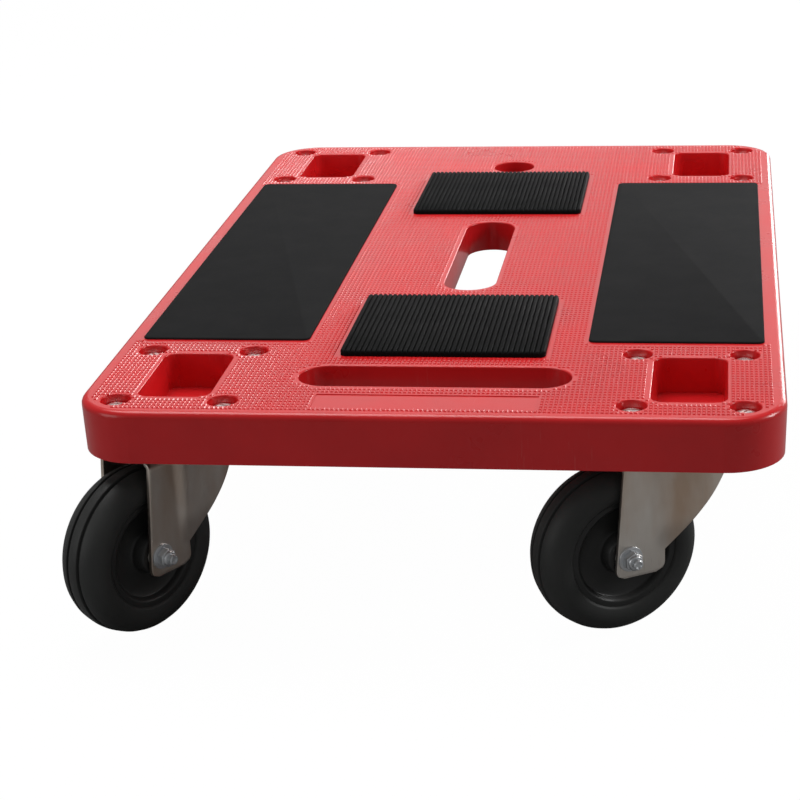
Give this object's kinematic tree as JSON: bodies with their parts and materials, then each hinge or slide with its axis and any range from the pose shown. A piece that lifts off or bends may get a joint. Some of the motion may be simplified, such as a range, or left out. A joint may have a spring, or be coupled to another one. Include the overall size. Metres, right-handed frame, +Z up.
{
  "type": "furniture dolly",
  "caption": "Rectangular moulded plastic furniture dolly with smooth and ribbed rubber load pads, hand slots and swivel casters at the corners.",
  "frame": {"origin": "on the floor, straight below the middle of the deck", "axes": "+Z up, +Y from the front edge with the long hand slot to the rear edge with the round hole, +X to the right"},
  "size_m": [0.4215, 0.6282, 0.1457],
  "materials": {
    "deck": "glossy moulded plastic with a fine ribbed grain on top",
    "smooth_pad": "flat matte rubber sheet",
    "ribbed_pad": "ribbed rubber",
    "screw": "bright zinc plate",
    "nut": "zinc plate",
    "plated_steel": "zinc-plated pressed steel",
    "ball": "polished",
    "bright_steel": "zinc-plated",
    "bush": "natural nylon",
    "rim": "black moulded plastic",
    "tyre": "black solid rubber"
  },
  "bodies": {
    "deck": {"deck": "deck", "side_pad_left": "smooth_pad", "side_pad_right": "smooth_pad", "ribbed_pad_front": "ribbed_pad", "ribbed_pad_rear": "ribbed_pad", "deck_screws_front_left": "screw", "caster_plate_front_left": "plated_steel", "swivel_balls_front_left": "ball", "king_pin_front_left": "bright_steel", "deck_nuts_front_left": "nut", "deck_screws_front_right": "screw", "caster_plate_front_right": "plated_steel", "swivel_balls_front_right": "ball", "king_pin_front_right": "bright_steel", "deck_nuts_front_right": "nut", "deck_screws_rear_left": "screw", "caster_plate_rear_left": "plated_steel", "swivel_balls_rear_left": "ball", "king_pin_rear_left": "bright_steel", "deck_nuts_rear_left": "nut", "deck_screws_rear_right": "screw", "caster_plate_rear_right": "plated_steel", "swivel_balls_rear_right": "ball", "king_pin_rear_right": "bright_steel", "deck_nuts_rear_right": "nut"},
    "fork_front_left": {"fork_front_left": "plated_steel", "axle_bolt_front_left": "bright_steel", "axle_nut_front_left": "bright_steel", "axle_washers_front_left": "bright_steel", "axle_sleeve_front_left": "bright_steel"},
    "wheel_front_left": {"wheel_bush_front_left": "bush", "wheel_rim_front_left": "rim", "tyre_front_left": "tyre"},
    "fork_front_right": {"fork_front_right": "plated_steel", "axle_bolt_front_right": "bright_steel", "axle_nut_front_right": "bright_steel", "axle_washers_front_right": "bright_steel", "axle_sleeve_front_right": "bright_steel"},
    "wheel_front_right": {"wheel_bush_front_right": "bush", "wheel_rim_front_right": "rim", "tyre_front_right": "tyre"},
    "fork_rear_left": {"fork_rear_left": "plated_steel", "axle_bolt_rear_left": "bright_steel", "axle_nut_rear_left": "bright_steel", "axle_washers_rear_left": "bright_steel", "axle_sleeve_rear_left": "bright_steel"},
    "wheel_rear_left": {"wheel_bush_rear_left": "bush", "wheel_rim_rear_left": "rim", "tyre_rear_left": "tyre"},
    "fork_rear_right": {"fork_rear_right": "plated_steel", "axle_bolt_rear_right": "bright_steel", "axle_nut_rear_right": "bright_steel", "axle_washers_rear_right": "bright_steel", "axle_sleeve_rear_right": "bright_steel"},
    "wheel_rear_right": {"wheel_bush_rear_right": "bush", "wheel_rim_rear_right": "rim", "tyre_rear_right": "tyre"}
  },
  "joints": [
    {"name": "swivel_front_left", "type": "hinge", "parent": "deck", "child": "fork_front_left", "pos_m": [-0.1461, -0.238, 0.1085], "axis": [0, 0, 1], "continuous": true},
    {"name": "roll_front_left", "type": "hinge", "parent": "fork_front_left", "child": "wheel_front_left", "pos_m": [-0.1726, -0.2804, 0.05], "axis": [0.848, -0.5299, 0], "continuous": true},
    {"name": "swivel_front_right", "type": "hinge", "parent": "deck", "child": "fork_front_right", "pos_m": [0.1461, -0.238, 0.1085], "axis": [0, 0, 1], "continuous": true},
    {"name": "roll_front_right", "type": "hinge", "parent": "fork_front_right", "child": "wheel_front_right", "pos_m": [0.10324, -0.26375, 0.05], "axis": [0.515, -0.8572, 0], "continuous": true},
    {"name": "swivel_rear_left", "type": "hinge", "parent": "deck", "child": "fork_rear_left", "pos_m": [-0.1461, 0.238, 0.1085], "axis": [0, 0, 1], "continuous": true},
    {"name": "roll_rear_left", "type": "hinge", "parent": "fork_rear_left", "child": "wheel_rear_left", "pos_m": [-0.17956, 0.20084, 0.05], "axis": [0.7431, -0.6691, 0], "continuous": true},
    {"name": "swivel_rear_right", "type": "hinge", "parent": "deck", "child": "fork_rear_right", "pos_m": [0.1461, 0.238, 0.1085], "axis": [0, 0, 1], "continuous": true},
    {"name": "roll_rear_right", "type": "hinge", "parent": "fork_rear_right", "child": "wheel_rear_right", "pos_m": [0.10078, 0.21687, 0.05], "axis": [0.4226, -0.9063, 0], "continuous": true}
  ]
}
